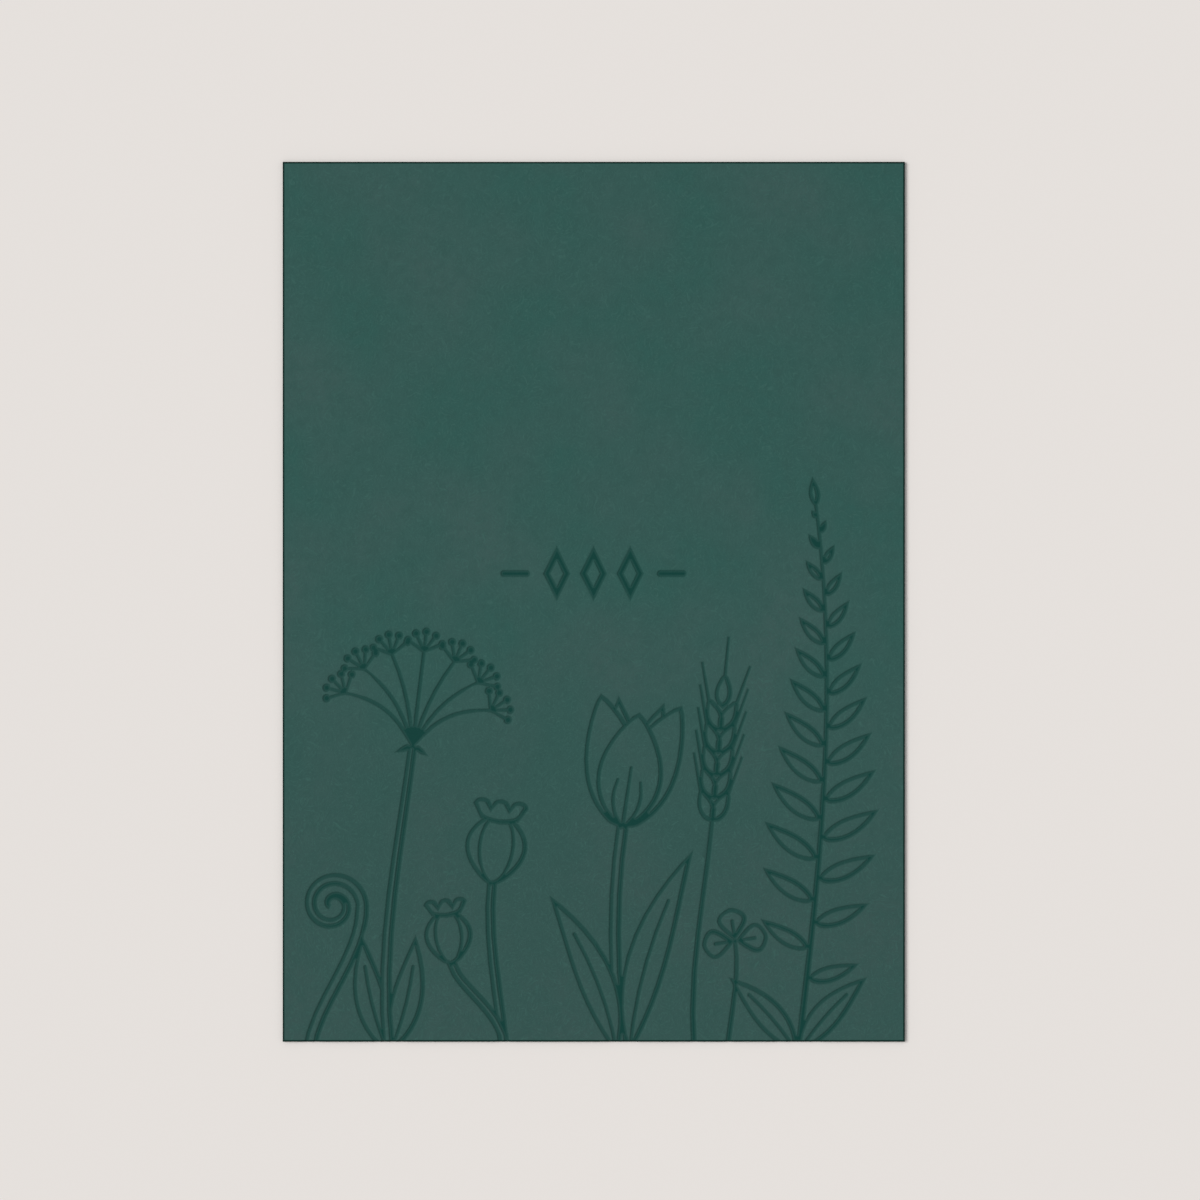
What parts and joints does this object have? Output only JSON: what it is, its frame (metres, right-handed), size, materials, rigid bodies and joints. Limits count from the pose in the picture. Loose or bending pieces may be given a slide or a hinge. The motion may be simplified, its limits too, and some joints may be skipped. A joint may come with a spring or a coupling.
{
  "type": "postcard",
  "caption": "Flat square-cornered card of dyed board, lying face up, with a botanical line drawing and a small ornament pressed into its face and writing guide lines on its back.",
  "frame": {"origin": "middle of the card's underside, on the surface it lies on", "axes": "+Z out of the pictured face, +Y up the picture along the card's height, +X across the picture to its right"},
  "size_m": [0.105, 0.1484, 0.0006],
  "materials": {
    "dyed_card": "matte"
  },
  "bodies": {
    "root": {"card": "dyed_card"}
  },
  "joints": []
}
